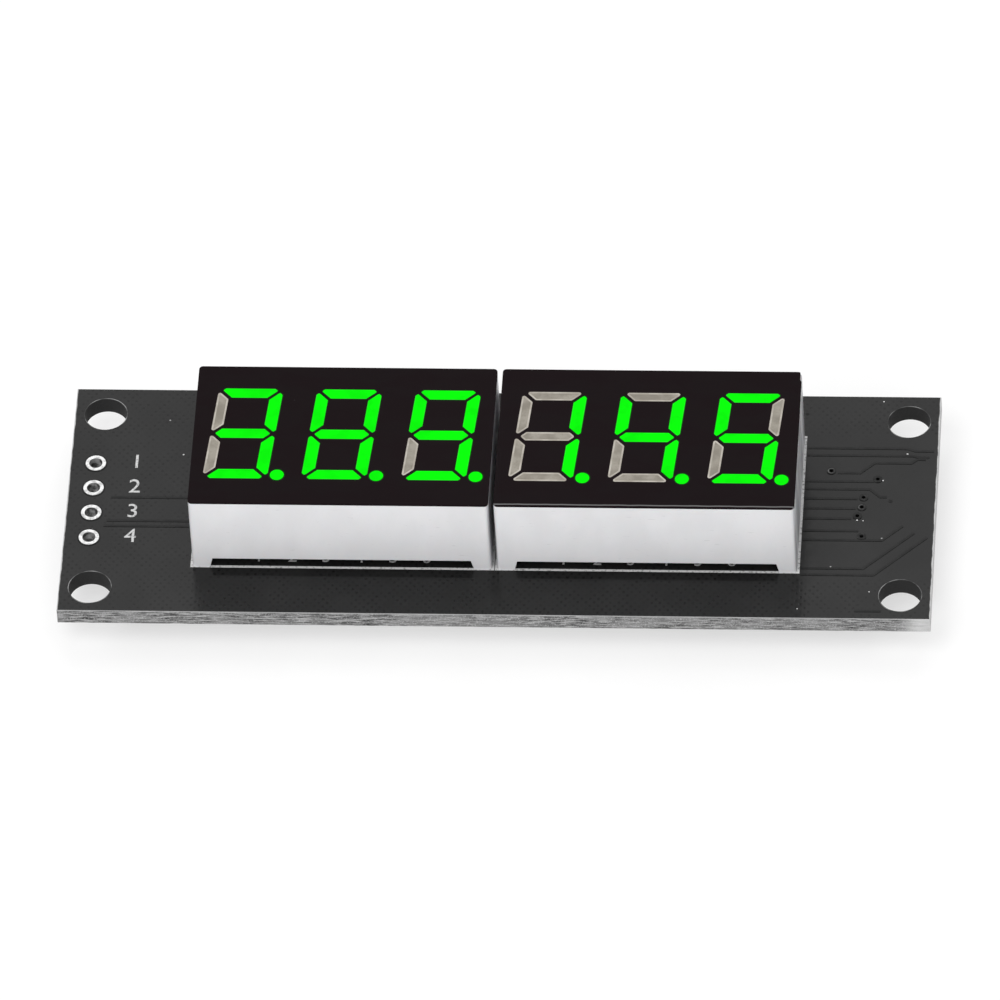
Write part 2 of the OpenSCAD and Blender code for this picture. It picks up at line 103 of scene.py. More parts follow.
def read_off(points):
    """Marks that were read off the photo, in the module's own frame."""
    return [(x, y + READ_FROM_Y, *more) for x, y, *more in points]


def linear(level):
    """One sRGB level from 0 to 255 as linear light."""
    share = level / 255
    return share / 12.92 if share <= 0.04045 else ((share + 0.055) / 1.055) ** 2.4


def rgb(red, green, blue):
    """An sRGB colour as a linear colour with alpha."""
    return linear(red), linear(green), linear(blue), 1.0


def grey(level):
    return rgb(level, level, level)


# Finishes


class Finish:
    """A material in the making, with short calls for the nodes that the finishes share."""

    def __init__(self, name, **sockets):
        self.material = bpy.data.materials.new(name)
        self.material.use_nodes = True
        self.tree = self.material.node_tree
        self.shader = self.tree.nodes["Principled BSDF"]
        for socket, value in sockets.items():
            self.shader.inputs[socket.replace("_", " ")].default_value = value
        metres = self.node("ShaderNodeTexCoord").outputs["Object"]
        scaled = self.node("ShaderNodeVectorMath", {0: metres, "Scale": 1 / MM}, operation="SCALE")
        self.place = scaled.outputs[0]

    def node(self, kind, inputs=None, **settings):
        made = self.tree.nodes.new(kind)
        for name, value in settings.items():
            setattr(made, name, value)
        for name, value in (inputs or {}).items():
            self.feed(made.inputs[name], value)
        return made

    def feed(self, socket, value):
        if isinstance(value, bpy.types.NodeSocket):
            self.tree.links.new(value, socket)
        else:
            socket.default_value = value

    def set(self, socket, value):
        self.feed(self.shader.inputs[socket], value)

    def math(self, operation, a, b=0.0, c=0.0):
        return self.node("ShaderNodeMath", {0: a, 1: b, 2: c}, operation=operation).outputs[0]

    def split(self, vector):
        return self.node("ShaderNodeSeparateXYZ", {0: vector}).outputs

    def noise(self, per_mm, detail=2.0, stretch=(1, 1, 1), shift=(0, 0, 0)):
        """Soft noise with so many waves to the millimetre, squeezed or drawn out along the axes."""
        place = self.node("ShaderNodeMapping", {"Vector": self.place, "Scale": stretch, "Location": shift})
        inputs = {"Vector": place.outputs[0], "Scale": per_mm, "Detail": detail}
        return self.node("ShaderNodeTexNoise", inputs).outputs["Fac"]

    def between(self, value, low, high, to_low=0.0, to_high=1.0):
        """Smooth step of a value from one range to another."""
        inputs = {"Value": value, "From Min": low, "From Max": high, "To Min": to_low, "To Max": to_high}
        return self.node("ShaderNodeMapRange", inputs, interpolation_type="SMOOTHSTEP").outputs[0]

    def mix(self, share, first, second):
        mixer = self.node("ShaderNodeMix", data_type="RGBA")
        self.feed(mixer.inputs["Factor"], share)
        self.feed(mixer.inputs[6], first)
        self.feed(mixer.inputs[7], second)
        return mixer.outputs[2]

    def specks(self, per_mm, size, share):
        """Small round specks in a few of the cells of a grid."""
        cells = self.node("ShaderNodeTexVoronoi", {"Vector": self.place, "Scale": per_mm})
        picked = self.math("GREATER_THAN", self.split(cells.outputs["Color"])[0], 1 - share)
        near = self.between(cells.outputs["Distance"], size, size * 0.6)
        return self.math("MULTIPLY", picked, near)

    def facing(self, axis):
        """How far a surface faces along an axis, from 0 to 1."""
        normal = self.node("ShaderNodeNewGeometry").outputs["True Normal"]
        return self.math("ABSOLUTE", self.split(normal)[axis])

    def rough(self, per_mm, detail, low, high):
        """Roughness that varies between two values in soft patches."""
        self.set("Roughness", self.between(self.noise(per_mm, detail), 0.3, 0.7, low, high))

    def relief(self, height, depth, edge_radius=0.0):
        """Bump of a height from 0 to 1 over a depth, on edges that are rounded off to a radius."""
        inputs = {"Height": height, "Strength": 1.0, "Distance": depth * MM}
        if edge_radius:
            rounded = self.node("ShaderNodeBevel", {"Radius": edge_radius * MM}, samples=4)
            inputs["Normal"] = rounded.outputs[0]
        self.set("Normal", self.node("ShaderNodeBump", inputs).outputs[0])


# Distance between the threads of the glass cloth, along X and along Y
WEAVE_PITCH = (0.31, 0.36)
# The cloth hardly shows among the tracks at the right end: from this X on, and so far to both sides
TRACK_FIELD_X = 22.9
TRACK_FIELD_Y = 7.3
# How far in the mask has worn off at the left end and at the right end of the board, at most
END_WEAR = (0.16, 0.2)
# Right end of the cut edges where the laminate has frayed to a pale grey, and how much of it is all pale
FRAYED_L = 2.6
FRAYED_PALE_L = 0.8
# How near to the board's outline a wall counts as its cut edge
AT_OUTLINE = 0.05


def weave(finish):
    """Threads of the glass cloth that show through the mask, as dashes in a brick pattern."""
    x, y, _ = finish.split(finish.place)
    across, along = (finish.math("SINE", finish.math("MULTIPLY", way, np.pi / pitch))
                     for way, pitch in zip((x, y), WEAVE_PITCH))
    dashes = finish.between(finish.math("MULTIPLY", across, along), 0.15, 0.95)
    patches = finish.between(finish.noise(0.9, 4), 0.4, 0.6, 0.2, 1.0)
    past_start = finish.between(x, TRACK_FIELD_X - 0.6, TRACK_FIELD_X)
    off_middle = finish.math("ABSOLUTE", y)
    between_sides = finish.between(off_middle, TRACK_FIELD_Y + 0.5, TRACK_FIELD_Y - 0.2)
    in_field = finish.math("MULTIPLY", past_start, between_sides)
    bare = finish.math("SUBTRACT", 1.0, finish.math("MULTIPLY", in_field, 0.85))
    return finish.math("MULTIPLY", finish.math("MULTIPLY", dashes, patches), bare)


def mask_colour(finish, threads):
    """Matt black solder mask, darker over the threads, with a few specks of dust."""
    cloudy = finish.mix(finish.between(finish.noise(0.25, 4), 0.35, 0.65), grey(30), grey(35))
    woven = finish.mix(finish.math("MULTIPLY", threads, 0.7), cloudy, grey(12))
    x = finish.split(finish.place)[0]
    wobble = finish.math("MULTIPLY", finish.noise(0.8, 3), finish.between(x, -1, 1, *END_WEAR))
    to_end = finish.math("ADD", finish.math("ABSOLUTE", x), wobble)
    worn = finish.between(to_end, BOARD_HIGH.x - 0.02, BOARD_HIGH.x + 0.06, 0.0, 0.85)
    edged = finish.mix(worn, woven, grey(212))
    return finish.mix(finish.specks(0.55, 0.045, 0.16), edged, grey(165))


def cut_edge_colour(finish):
    """Milled edge of the laminate: drawn-out fibres in greys, paler along the top and at the right end."""
    x, _, height = finish.split(finish.place)
    fibres = finish.noise(1.0, 5, stretch=(0.8, 0.8, 8.0))
    streaks = finish.mix(finish.between(fibres, 0.38, 0.62), grey(48), grey(160))
    patches = finish.between(finish.noise(0.3, 3, shift=(7, 3, 1)), 0.42, 0.6, 0.0, 0.6)
    cleaned = finish.mix(patches, streaks, grey(140))
    gaps = finish.between(finish.noise(1.0, 4, stretch=(0.5, 0.5, 20), shift=(1, 9, 4)), 0.54, 0.62, 0.0, 0.7)
    worn = finish.mix(gaps, cleaned, grey(34))
    grain = finish.mix(finish.between(finish.noise(9, 2), 0.5, 0.7, 0.0, 0.4), worn, grey(205))
    rim = finish.between(height, BOARD_TOP - 0.16, BOARD_TOP - 0.05, 0.0, 0.75)
    frayed = finish.between(x, BOARD_HIGH.x - FRAYED_L, BOARD_HIGH.x - FRAYED_PALE_L, 0.0, 0.7)
    return finish.mix(frayed, finish.mix(rim, grain, grey(172)), grey(205))


def board_mask():
    """Board: solder mask on both faces, bare laminate on the cut edges, and walls in the holes painted dark
    as painted shade.
    """
    finish = Finish("board_mask", Specular_IOR_Level=0.2)
    x, y, _ = finish.split(finish.place)
    is_face = finish.math("GREATER_THAN", finish.facing(2), 0.5)
    out_x = finish.math("GREATER_THAN", finish.math("ABSOLUTE", x), BOARD_HIGH.x - AT_OUTLINE)
    off_middle = finish.math("ABSOLUTE", finish.math("SUBTRACT", y, BOARD_MIDDLE.y))
    out_y = finish.math("GREATER_THAN", off_middle, BOARD_HIGH.y - BOARD_MIDDLE.y - AT_OUTLINE)
    is_rim = finish.math("MAXIMUM", out_x, out_y)
    threads = weave(finish)
    # Painted shade: the walls in the holes are a flat dark grey, while the cut edges keep the laminate's
    # colours.
    side = finish.mix(is_rim, grey(40), cut_edge_colour(finish))
    finish.set("Base Color", finish.mix(is_face, side, mask_colour(finish, threads)))
    gloss = finish.between(finish.noise(1.4, 3), 0.3, 0.7, 0.12, 0.22)
    smoother = finish.math("MULTIPLY", finish.math("SUBTRACT", gloss, 0.7), is_face)
    finish.set("Roughness", finish.math("ADD", smoother, 0.7))
    is_wall = finish.math("SUBTRACT", 1.0, is_face)
    grain = finish.math("MULTIPLY", finish.noise(6, 3, stretch=(1, 1, 3)), is_wall)
    finish.relief(finish.math("ADD", grain, finish.math("MULTIPLY", threads, -0.35)), 0.02, 0.04)
    return finish.material


def track_mask():
    """Mask over the tracks, a shade darker than over the laminate."""
    finish = Finish("track_mask", Specular_IOR_Level=0.2)
    shade = finish.between(finish.noise(1.1, 3), 0.35, 0.65)
    finish.set("Base Color", finish.mix(shade, grey(15), grey(24)))
    finish.rough(2, 2, 0.25, 0.38)
    finish.relief(finish.noise(3, 2), 0.008)
    return finish.material


def via_mask():
    """Mask that has sunk into the plated holes, with worn pale rims."""
    finish = Finish("via_mask", Specular_IOR_Level=0.2)
    wear = finish.between(finish.noise(2.2, 3), 0.54, 0.64, 0.0, 0.6)
    finish.set("Base Color", finish.mix(wear, grey(14), grey(52)))
    finish.rough(3, 2, 0.25, 0.45)
    finish.relief(finish.noise(5, 2), 0.01)
    return finish.material


def tinned_ring():
    """Bright uneven tin on the copper rings, with the tin in the barrels of the holes painted darker as
    painted shade.
    """
    finish = Finish("tinned_ring", Metallic=0.6)
    dull = finish.between(finish.noise(2.8, 4), 0.4, 0.64)
    ring = finish.mix(dull, grey(236), grey(184))
    # Painted shade: the tin inside the barrels is painted darker than on the rings.
    painted_barrel_shade = finish.mix(finish.between(finish.noise(2.2, 3), 0.35, 0.65), grey(70), grey(185))
    flat = finish.math("GREATER_THAN", finish.facing(2), 0.5)
    finish.set("Base Color", finish.mix(flat, painted_barrel_shade, ring))
    finish.rough(3.5, 3, 0.28, 0.5)
    finish.relief(finish.noise(2.6, 4), 0.03, 0.03)
    return finish.material


def solder():
    """Solder that has flowed and set, bright with slight ripples."""
    finish = Finish("solder", Metallic=0.95)
    finish.set("Base Color", finish.mix(finish.between(finish.noise(3, 4), 0.4, 0.7), grey(222), grey(168)))
    finish.rough(4, 3, 0.16, 0.36)
    finish.relief(finish.noise(3.2, 3), 0.03)
    return finish.material


def drawn_metal(name, level, spread):
    """Dull tinned metal with faint lines from drawing and forming."""
    finish = Finish(name, Metallic=0.95)
    lines = finish.noise(3, 3, stretch=(1, 6, 0.5))
    finish.set("Base Color", finish.mix(finish.between(lines, 0.35, 0.65), grey(level), grey(level - spread)))
    finish.rough(6, 2, 0.28, 0.46)
    finish.relief(lines, 0.008, 0.02)
    return finish.material


def white_housing():
    """White moulded plastic with faint flow marks, a fine grain and a few scuffs. The walls are painted paler
    towards their foot as painted light, and the walls that face along X carry dark vertical streaks of
    painted shade.
    """
    finish = Finish("white_housing", Subsurface_Weight=0.06, Subsurface_Scale=0.4 * MM)
    height = finish.split(finish.place)[2]
    flow = finish.between(finish.noise(0.32, 4, stretch=(1, 1, 0.5)), 0.38, 0.64)
    body = finish.mix(flow, rgb(214, 214, 216), rgb(219, 219, 221))
    # Painted light: the walls are painted paler towards their foot, where the dark board beside them gives
    # them less light.
    foot = finish.between(height, BOARD_TOP + 2.2, BOARD_TOP, 0.0, 0.6)
    body_with_painted_foot_light = finish.mix(foot, body, rgb(223, 223, 225))
    scuffs = finish.between(finish.noise(1.3, 6, stretch=(1, 1, 4), shift=(2, 5, 0)), 0.66, 0.74, 0.0, 0.5)
    scuffed = finish.mix(scuffs, body_with_painted_foot_light, rgb(190, 190, 192))
    # Painted shade: dark vertical streaks on the walls that face along X.
    side_shade_noise = finish.noise(1.0, 3, stretch=(1, 0.5, 0.07), shift=(0, 2, 7))
    streaks = finish.between(side_shade_noise, 0.38, 0.6, 0.7, 0.0)
    painted_side_shade = finish.math("MULTIPLY", streaks, finish.math("GREATER_THAN", finish.facing(0), 0.7))
    finish.set("Base Color", finish.mix(painted_side_shade, scuffed, rgb(146, 146, 149)))
    finish.rough(0.9, 3, 0.3, 0.44)
    finish.relief(finish.noise(4, 3), 0.006, 0.09)
    return finish.material


def face_edge_wear(finish):
    """Painted highlight: a grey band along the near edge of the right face, where the bevelled edge of the
    black film catches the light.
    """
    x, y, z = finish.split(finish.place)
    low = DISPLAYS["right"][0]
    off_edge = finish.math("SUBTRACT", y, low.y)
    wobble = finish.math("MULTIPLY", finish.math("SUBTRACT", finish.noise(0.6, 3), 0.5), 0.12)
    inner = finish.math("ADD", off_edge, wobble)
    band = finish.math("MULTIPLY", finish.between(inner, 0.05, 0.1), finish.between(inner, 0.22, 0.15))
    on_right = finish.math("GREATER_THAN", x, low.x)
    return finish.math("MULTIPLY", band, on_right)


def black_face():
    """Satin black film with a warm tone, faint smears, sparse dust and a painted highlight along the near
    edge of the right face.
    """
    finish = Finish("black_face", Specular_IOR_Level=0.05)
    smear = finish.between(finish.noise(0.3, 5, stretch=(1, 2.2, 1)), 0.36, 0.66)
    film = finish.mix(smear, rgb(18, 9, 12), rgb(22, 13, 16))
    dusty = finish.mix(finish.specks(1.1, 0.03, 0.12), film, rgb(120, 116, 118))
    # Painted highlight along the near edge of the right face.
    worn = finish.math("MULTIPLY", face_edge_wear(finish), 0.95)
    finish.set("Base Color", finish.mix(worn, dusty, grey(112)))
    finish.set("Roughness", finish.between(smear, 0, 1, 0.42, 0.56))
    finish.relief(finish.noise(7, 2), 0.004, 0.04)
    return finish.material


def lit_green():
    """Green light through milky resin, a shade weaker in soft patches."""
    finish = Finish("lit_green", Roughness=0.35, Specular_IOR_Level=0.02, Emission_Strength=1.0)
    patches = finish.between(finish.noise(0.55, 3), 0.35, 0.68)
    finish.set("Base Color", finish.mix(patches, rgb(2, 110, 4), rgb(2, 90, 4)))
    finish.set("Emission Color", finish.mix(patches, (0.0, 0.92, 0.0, 1.0), (0.0, 0.8, 0.0, 1.0)))
    finish.relief(finish.noise(5, 2), 0.004)
    return finish.material


def unlit_resin():
    """Milky warm grey resin, cloudy with the white well under it."""
    finish = Finish("unlit_resin", Specular_IOR_Level=0.3)
    cloud = finish.between(finish.noise(0.8, 4, shift=(3, 1, 4)), 0.34, 0.66)
    body = finish.mix(cloud, rgb(131, 125, 114), rgb(155, 149, 138))
    grit = finish.between(finish.noise(7, 3), 0.52, 0.7, 0.0, 0.35)
    finish.set("Base Color", finish.mix(grit, body, rgb(122, 115, 104)))
    finish.rough(2, 2, 0.32, 0.5)
    finish.relief(finish.noise(6, 3), 0.008)
    return finish.material


def cast_resin():
    """Resin cast into the back, slightly wavy with small bubbles."""
    finish = Finish("back_resin", Subsurface_Weight=0.2, Subsurface_Scale=0.6 * MM)
    cloud = finish.between(finish.noise(0.5, 4), 0.35, 0.65)
    body = finish.mix(cloud, rgb(196, 190, 168), rgb(208, 204, 186))
    finish.set("Base Color", finish.mix(finish.specks(1.6, 0.12, 0.2), body, rgb(226, 222, 208)))
    finish.rough(1, 2, 0.14, 0.28)
    finish.relief(finish.noise(0.8, 3), 0.05)
    return finish.material


def inner_laminate():
    """Pale glass laminate with its weave."""
    finish = Finish("inner_laminate", Roughness=0.55)
    threads = weave(finish)
    finish.set("Base Color", finish.mix(threads, rgb(214, 210, 190), rgb(192, 188, 164)))
    finish.relief(threads, 0.01)
    return finish.material


def light_chip():
    finish = Finish("light_chip", Roughness=0.3)
    grain = finish.between(finish.noise(8, 2), 0.35, 0.65)
    finish.set("Base Color", finish.mix(grain, rgb(220, 206, 130), rgb(196, 178, 96)))
    finish.relief(grain, 0.004)
    return finish.material


def chip_package():
    """Moulded black epoxy with its fine sandy grain."""
    finish = Finish("chip_package")
    grain = finish.noise(9, 4)
    finish.set("Base Color", finish.mix(finish.between(grain, 0.3, 0.7), grey(30), grey(48)))
    finish.rough(1.2, 3, 0.48, 0.66)
    finish.relief(grain, 0.02, 0.05)
    return finish.material


def resistor_coat():
    finish = Finish("resistor_coat")
    ripple = finish.noise(2.5, 3)
    finish.set("Base Color", finish.mix(finish.between(ripple, 0.35, 0.65), rgb(26, 26, 30), rgb(40, 40, 46)))
    finish.set("Roughness", finish.between(ripple, 0.3, 0.7, 0.16, 0.3))
    finish.relief(ripple, 0.01, 0.03)
    return finish.material


def capacitor_ceramic():
    finish = Finish("capacitor_ceramic")
    grain = finish.noise(6, 4)
    shade = finish.between(grain, 0.35, 0.65)
    finish.set("Base Color", finish.mix(shade, rgb(176, 140, 98), rgb(196, 160, 118)))
    finish.set("Roughness", finish.between(grain, 0.3, 0.7, 0.4, 0.55))
    finish.relief(grain, 0.01, 0.04)
    return finish.material


def resin_rim():
    """Thin resin over the pale edge of a well."""
    finish = Finish("resin_rim", Specular_IOR_Level=0.3)
    cloud = finish.between(finish.noise(1.1, 4), 0.36, 0.66)
    finish.set("Base Color", finish.mix(cloud, rgb(164, 157, 146), rgb(190, 184, 174)))
    finish.rough(3, 2, 0.35, 0.5)
    finish.relief(finish.noise(6, 3), 0.004)
    return finish.material


def light_spill(name, level, pale):
    """Green light that spills from a lit window onto the film round it."""
    finish = Finish(name, Roughness=0.4, Specular_IOR_Level=0.06, Emission_Strength=1.0)
    patches = finish.between(finish.noise(1.3, 3), 0.4, 0.7)
    finish.set("Base Color", finish.mix(patches, rgb(3, 30, 4), rgb(5, 24, 5)))
    finish.set("Emission Color", finish.mix(patches, (0, level, 0, 1), (pale, level * 0.88, pale, 1)))
    finish.relief(finish.noise(5, 2), 0.002)
    return finish.material


def dark_gap():
    """Dark laminate or shade, such as between a ring and the edge of the mask."""
    finish = Finish("dark_gap", Specular_IOR_Level=0.2)
    grain = finish.between(finish.noise(4, 3), 0.35, 0.65)
    finish.set("Base Color", finish.mix(grain, grey(16), grey(30)))
    finish.set("Roughness", finish.between(grain, 0, 1, 0.4, 0.6))
    finish.relief(grain, 0.004)
    return finish.material


def rim_mask():
    """Pale worn mask at the rims of the holes."""
    finish = Finish("rim_mask", Specular_IOR_Level=0.25)
    worn = finish.between(finish.noise(0.7, 3), 0.4, 0.68)
    finish.set("Base Color", finish.mix(worn, grey(44), grey(150)))
    finish.rough(3, 2, 0.3, 0.5)
    finish.relief(finish.noise(5, 2), 0.01)
    return finish.material


def print_ink():
    """White print, thin and broken up where it has run over the mask."""
    finish = Finish("print_ink")
    worn = finish.between(finish.noise(5, 4), 0.5, 0.68)
    finish.set("Base Color", finish.mix(worn, grey(206), grey(140)))
    finish.rough(4, 2, 0.45, 0.65)
    finish.relief(finish.noise(7, 3), 0.008)
    return finish.material


def floor_paper():
    """Milky sheet of a light table, lit from under it."""
    finish = Finish("floor_paper", Roughness=0.9, Specular_IOR_Level=0.1, Emission_Strength=0.6)
    fibres = finish.between(finish.noise(0.05, 3), 0.3, 0.7)
    finish.set("Base Color", finish.mix(fibres, grey(172), grey(176)))
    finish.set("Emission Color", finish.mix(fibres, grey(253), grey(255)))
    return finish.material


# The finish of each material slot
FINISHES = {
    "board_mask": board_mask(),
    "via_mask": via_mask(),
    "tinned_ring": tinned_ring(),
    "solder": solder(),
    "pin_metal": drawn_metal("pin_metal", 205, 40),
    "lead_metal": drawn_metal("lead_metal", 196, 34),
    "white_housing": white_housing(),
    "black_face": black_face(),
    "lit_green": lit_green(),
    "unlit_resin": unlit_resin(),
    "back_resin": cast_resin(),
    "inner_laminate": inner_laminate(),
    "light_chip": light_chip(),
    "chip_package": chip_package(),
    "resistor_coat": resistor_coat(),
    "capacitor_ceramic": capacitor_ceramic(),
    "part_ends": drawn_metal("part_ends", 214, 44),
}
INK = print_ink()
TRACKS = track_mask()
RIM = rim_mask()
DARK = dark_gap()


def dress_solids():
    """Gives each solid the finish of its material slot."""
    for part in frame["record"]["subparts"]:
        slots = NODES[part["node"]].data.materials
        slots.clear()
        slots.append(FINISHES[part["material_slot"]])


# Thin pieces on the faces of the board


# Heights of print and small marks, of tracks, and of the light and resin on a face
FILM = 0.02
TRACK_RISE = 0.03
GLOW_FILM = 0.004

# Widths of the tracks on the front and on the back
TRACK_W = 0.2
BACK_TRACK_W = 0.22
SUPPLY_W = 0.45

# Segments have at most so many corners, and decimal points have more
SEGMENT_CORNERS = 24


class Layer:
    """Thin shapes of one finish between two heights, gathered into one mesh."""

    def __init__(self, low, high):
        self.low = low
        self.high = high
        self.points = []
        self.faces = []

    def band(self, left, right, closed=False):
        """A strip between two rows of points that run side by side."""
        start = len(self.points)
        for a, b in zip(left, right):
            self.points += [(*a, self.low), (*b, self.low), (*b, self.high), (*a, self.high)]
        count = len(left)
        steps = count if closed else count - 1
        for i in range(steps):
            here, there = start + 4 * i, start + 4 * ((i + 1) % count)
            for k in range(4):
                after = (k + 1) % 4
                self.faces.append((here + k, here + after, there + after, there + k))
        if not closed:
            last = start + 4 * (count - 1)
            self.faces.append((start + 3, start + 2, start + 1, start))
            self.faces.append((last, last + 1, last + 2, last + 3))

    def stripe(self, points, width, closed=False):
        """A track or line of a width along a row of points, with mitred corners."""
        sides = [mitre(points, i, width / 2, closed) for i in range(len(points))]
        left = [(x + dx, y + dy) for (x, y), (dx, dy) in zip(points, sides)]
        right = [(x - dx, y - dy) for (x, y), (dx, dy) in zip(points, sides)]
        self.band(left, right, closed)

    def rectangle(self, centre, length, width, line):
        """Outline of a rectangle, drawn with a line of a width."""
        signs = [(-1, -1), (1, -1), (1, 1), (-1, 1)]
        corners = [(centre.x + x * length / 2, centre.y + y * width / 2) for x, y in signs]
        self.stripe(corners, line, closed=True)

    def disc(self, centre, radius, steps=16):
        """Small round flat, with its upper and its lower face as one polygon each."""
        start = len(self.points)
        rim = [(centre[0] + radius * np.cos(a), centre[1] + radius * np.sin(a))
               for a in np.linspace(0, 2 * np.pi, steps, endpoint=False)]
        self.points += [(*p, z) for z in (self.low, self.high) for p in rim]
        self.faces.append([start + steps + i for i in range(steps)])
        self.faces.append([start + i for i in range(steps)][::-1])
        for i in range(steps):
            after = (i + 1) % steps
            self.faces.append((start + i, start + after, start + steps + after, start + steps + i))

    def ring(self, centre, inner, outer, steps=32):
        angles = [2 * np.pi * i / steps for i in range(steps)]
        rows = [[(centre[0] + radius * np.cos(a), centre[1] + radius * np.sin(a)) for a in angles]
                for radius in (outer, inner)]
        self.band(*rows, closed=True)

    def number(self, text, centre, height, from_below=False):
        """Plain figures of a height round a centre. From below they are mirrored, to read from there."""
        curve = bpy.data.curves.new("number", "FONT")
        curve.body = text
        curve.resolution_u = 4
        curve.extrude = 0.5
        holder = bpy.data.objects.new("number", curve)
        bpy.context.scene.collection.objects.link(holder)
        mesh = bpy.data.meshes.new_from_object(holder.evaluated_get(bpy.context.evaluated_depsgraph_get()))
        bpy.data.objects.remove(holder)
        raw = np.array([v.co for v in mesh.vertices])
        size = raw.max(0) - raw.min(0)
        raw = (raw - (raw.max(0) + raw.min(0)) / 2) * (height / size[1], height / size[1], 1 / size[2])
        if from_below:
            raw[:, 0] *= -1
        raw = raw * (1, 1, self.high - self.low) + (centre[0], centre[1], (self.low + self.high) / 2)
        start = len(self.points)
        self.points += [tuple(p) for p in raw]
        for polygon in mesh.polygons:
            corners = [start + v for v in polygon.vertices]
            self.faces.append(corners[::-1] if from_below else corners)
        bpy.data.meshes.remove(mesh)

    def made(self, name, finish, slot=None):
        mesh = bpy.data.meshes.new(name)
        mesh.from_pydata([Vector(p) * MM for p in self.points], [], self.faces)
        mesh.materials.append(finish)
        piece = bpy.data.objects.new(name, mesh)
        bpy.context.scene.collection.objects.link(piece)
        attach(piece, "root")
        return piece


def mitre(points, i, half, closed):
    """Step from a corner of a line to its left side, so that both stretches keep their width."""
    count = len(points)
    before = points[i - 1] if i > 0 or closed else None
    after = points[(i + 1) % count] if i < count - 1 or closed else None
    ways = []
    for a, b in ((before, points[i]), (points[i], after)):
        if a is not None and b is not None:
            way = Vector((b[0] - a[0], b[1] - a[1])).normalized()
            ways.append(Vector((-way.y, way.x)))
    step = sum(ways, Vector((0, 0))).normalized()
    return step * (half / step.dot(ways[0]))


def moved(outline, out):
    """A closed anticlockwise outline, moved outwards by a distance."""
    steps = [mitre(outline, i, out, True) for i in range(len(outline))]
    return [(x - step.x, y - step.y) for (x, y), step in zip(outline, steps)]


def widened(outline, out):
    """A segment's outline moved outwards on its long sides, but not on its slanted ends. The round outline of
    a decimal point, which has more corners, stays as it is."""
    if len(outline) > SEGMENT_CORNERS:
        return outline
    steps = [mitre(outline, i, out, True) for i in range(len(outline))]
    shares = [abs(step.x ** 2 - step.y ** 2) / step.length_squared for step in steps]
    return [(x - step.x * share, y - step.y * share) for (x, y), step, share in zip(outline, steps, shares)]


def window_outlines(name):
    """Anticlockwise outlines of the ends of a solid's bodies that lie in the plane of the display faces."""
    solid = NODES[name]
    points = [solid.matrix_world @ vertex.co / MM for vertex in solid.data.vertices]
    keys = [(round(p.x, 4), round(p.y, 4)) for p in points]
    ways = set()
    for polygon in solid.data.polygons:
        corners = list(polygon.vertices)
        if min(points[i].z for i in corners) > FACE_TOP - 0.01:
            sides = zip(corners, corners[1:] + corners[:1])
            ways.update((keys[a], keys[b]) for a, b in sides if keys[a] != keys[b])
    after = {a: b for a, b in ways if (b, a) not in ways}
    outlines = []
    while after:
        start = min(after)
        outline = [start]
        while after[outline[-1]] != start:
            outline.append(after[outline[-1]])
        for point in outline:
            del after[point]
        outlines.append(outline)
    return outlines


# Tracks in the open strips beside the displays, as corners from left to right
LEFT_TRACKS = [
    [(-29.6, 0.2), (-23, 0.2)],
    [(-29.8, -2.2), (-23, -2.2)],
    [(-30, -2.75), (-23, -2.75)],
]
RIGHT_TRACKS = [
    [(23, 6), (30.6, 6), (31.2, 5.75), (32.6, 5.75)],
    [(23, 5.25), (31, 5.25), (31.5, 5.1), (32, 5.1)],
    [(25.4, 3.45), (27.1, 3.45), (28.15, 4.5), (30.9, 4.5), (31.4, 4.9), (32, 4.9)],
    [(23, 2.58), (28.2, 2.58)],
    [(23, 1.78), (27.9, 1.78), (28.7, 1), (29.2, 1)],
    [(23, 0.8), (27, 0.8)],
    [(23, -0.2), (26.9, -0.2)],
    [(23, -1.25), (26.6, -1.25)],
    [(23, -2.5), (27.2, -2.5)],
    [(23, -3.45), (29, -3.45), (30.5, -1.95)],
    [(23, -6.35), (27.7, -6.35), (31.4, -2.65)],
    [(23, -7), (28.5, -7), (32.4, -3.1)],
    [(27.2, -10.65), (29.2, -10.65)],
]


def front_tracks():
    layer = Layer(BOARD_TOP, BOARD_TOP + TRACK_RISE)
    for track in LEFT_TRACKS + RIGHT_TRACKS:
        layer.stripe(read_off(track), TRACK_W)
    layer.made("front_tracks", TRACKS, "board_mask")


def row_spots(name):
    """Middles of the pins of a row, from left to right."""
    low, high = node_box(name)
    radius = (high.y - low.y) / 2
    xs = np.linspace(low.x + radius, high.x - radius, PINS)
    return [(x, (low.y + high.y) / 2) for x in xs]


# Loops between the displays: from the row of pins to the first loop, from loop to loop, and their cut corners
LOOP_START = 1.25
LOOP_PITCH = 0.5
LOOP_CUT = 0.35


def pin_loops(layer):
    """Tracks that join the two displays, one inside the other: each pin of a row to its mirror image."""
    for row, side in (("front", -1), ("rear", 1)):
        left, right = (row_spots(f"{display}_{row}_solder") for display in ("left", "right"))
        for i in range(PINS):
            start, end = left[PINS - 1 - i], right[i]
            y = start[1] + side * (LOOP_START + i * LOOP_PITCH)
            corner_y = y - side * LOOP_CUT
            layer.stripe([start, (start[0], corner_y), (start[0] + LOOP_CUT, y), (end[0] - LOOP_CUT, y),
                          (end[0], corner_y), end], BACK_TRACK_W)


# Tracks of the chip: where they start, off its middle, their first straight stretch, and the outermost one
LEAD_REACH = 5.4
FAN_LEAD = 0.5
FAN_TOP = 4.1


